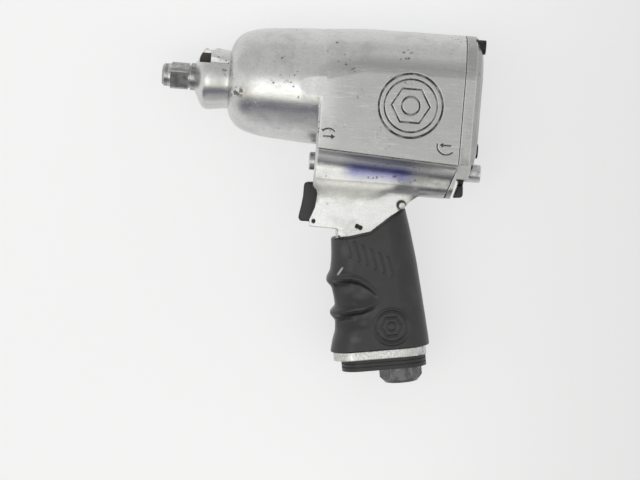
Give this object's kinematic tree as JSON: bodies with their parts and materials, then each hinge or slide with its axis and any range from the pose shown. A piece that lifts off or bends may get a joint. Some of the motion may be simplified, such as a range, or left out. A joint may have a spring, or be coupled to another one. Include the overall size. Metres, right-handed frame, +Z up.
{
  "type": "impact wrench",
  "caption": "Pistol-grip pneumatic impact wrench with a square drive, cast metal body, trigger, reverse spool, rubber grip and threaded air inlet.",
  "frame": {"origin": "on the spindle axis at the anvil shoulder where a socket seats", "axes": "+Z up with the handle hanging down, -X towards the drive tip, +Y to the tool's right side"},
  "size_m": [0.189, 0.066, 0.2052],
  "materials": {
    "cast_aluminium": "tumbled satin casting",
    "cover_aluminium": "tumbled satin casting",
    "anvil_steel": "dark ground steel",
    "forged_steel": "dark forged steel",
    "bright_steel": "ground steel",
    "liner_iron": "bored cast iron",
    "black_screw": "black oxide",
    "bronze": "plain bearing bronze",
    "vane_resin": "laminated resin",
    "black_plastic": "moulded black plastic",
    "grip_rubber": "moulded black rubber",
    "seal_rubber": "black seal rubber",
    "gasket_paper": "grey gasket sheet",
    "ball_cage_brass": "pressed brass",
    "felt": "grey felt",
    "inlet_steel": "darkened steel",
    "screen_brass": "perforated brass"
  },
  "bodies": {
    "tool": {"housing": "cast_aluminium", "anvil_bushing": "bronze", "front_end_plate": "liner_iron", "cylinder_liner": "liner_iron", "rear_end_plate": "liner_iron", "alignment_pins": "bright_steel", "cover_gasket": "gasket_paper", "rear_cover": "cover_aluminium", "cover_screws": "black_screw", "screw_washers": "black_screw", "detent_ball": "bright_steel", "detent_spring": "bright_steel", "detent_screw": "black_screw", "trigger_pin": "bright_steel", "throttle_bushing": "bronze", "valve_seat": "bronze", "grip_sleeve": "grip_rubber", "inlet_bushing": "inlet_steel", "inlet_o_ring": "seal_rubber", "inlet_screen": "screen_brass", "exhaust_deflector": "black_plastic", "exhaust_silencer": "felt", "front_bearing_outer_race": "bright_steel", "rear_bearing_outer_race": "bright_steel"},
    "motor": {"rotor": "forged_steel", "rotor_vanes": "vane_resin", "hammer_cage": "forged_steel", "hammer_pins": "bright_steel", "front_bearing_inner_race": "bright_steel", "rear_bearing_inner_race": "bright_steel"},
    "output": {"anvil": "anvil_steel", "retainer_o_ring": "seal_rubber", "retainer_ring": "bright_steel"},
    "first_hammer": {"front_hammer": "forged_steel"},
    "second_hammer": {"rear_hammer": "forged_steel"},
    "front_ball_set": {"front_bearing_balls": "bright_steel", "front_bearing_cage": "ball_cage_brass"},
    "rear_ball_set": {"rear_bearing_balls": "bright_steel", "rear_bearing_cage": "ball_cage_brass"},
    "reverse_valve": {"reverse_spool": "bright_steel", "spool_o_rings": "seal_rubber"},
    "power_lever": {"regulator_lever": "black_plastic"},
    "trigger_lever": {"trigger": "black_plastic"},
    "plunger": {"throttle_plunger": "bright_steel"},
    "valve": {"throttle_valve": "bright_steel", "valve_spring": "bright_steel"}
  },
  "joints": [
    {"name": "motor_spin", "type": "hinge", "parent": "tool", "child": "motor", "pos_m": [0, 0, 0], "axis": [1, 0, 0], "continuous": true},
    {"name": "anvil_spin", "type": "hinge", "parent": "tool", "child": "output", "pos_m": [0, 0, 0], "axis": [1, 0, 0], "continuous": true},
    {"name": "front_hammer_swing", "type": "hinge", "parent": "motor", "child": "first_hammer", "pos_m": [0.047, 0, 0.0204], "axis": [1, 0, 0], "range_deg": [-4, 4]},
    {"name": "rear_hammer_swing", "type": "hinge", "parent": "motor", "child": "second_hammer", "pos_m": [0.065, 0, -0.0204], "axis": [1, 0, 0], "range_deg": [-4, 4]},
    {"name": "front_ball_orbit", "type": "hinge", "parent": "tool", "child": "front_ball_set", "pos_m": [0.0888, 0, 0], "axis": [1, 0, 0], "continuous": true},
    {"name": "rear_ball_orbit", "type": "hinge", "parent": "tool", "child": "rear_ball_set", "pos_m": [0.1498, 0, 0], "axis": [1, 0, 0], "continuous": true},
    {"name": "reverse_slide", "type": "slide", "parent": "tool", "child": "reverse_valve", "axis": [-1, 0, 0], "range_m": [0, 0.006]},
    {"name": "power_lever_turn", "type": "hinge", "parent": "tool", "child": "power_lever", "pos_m": [0.1614, 0, -0.0434], "axis": [1, 0, 0], "range_deg": [-20, 20]},
    {"name": "plunger_push", "type": "slide", "parent": "tool", "child": "plunger", "axis": [1, 0, 0], "range_m": [0, 0.00306], "stiffness_N_per_m": 800, "springref_m": -0.005},
    {"name": "trigger_pull", "type": "hinge", "parent": "tool", "child": "trigger_lever", "pos_m": [0.0776, 0, -0.0775], "axis": [0, 1, 0], "range_deg": [0, 13]},
    {"name": "valve_tilt", "type": "hinge", "parent": "tool", "child": "valve", "pos_m": [0.11886, 0, -0.09447], "axis": [0, 1, 0], "range_deg": [0, 6.2]}
  ],
  "couplings": [
    {"joint": "anvil_spin", "follows": "motor_spin", "ratio": 1},
    {"joint": "front_ball_orbit", "follows": "motor_spin", "ratio": 0.4},
    {"joint": "rear_ball_orbit", "follows": "motor_spin", "ratio": 0.4},
    {"joint": "trigger_pull", "follows": "plunger_push", "rad_per_m": 74.07},
    {"joint": "valve_tilt", "follows": "plunger_push", "rad_per_m": 34.07}
  ]
}
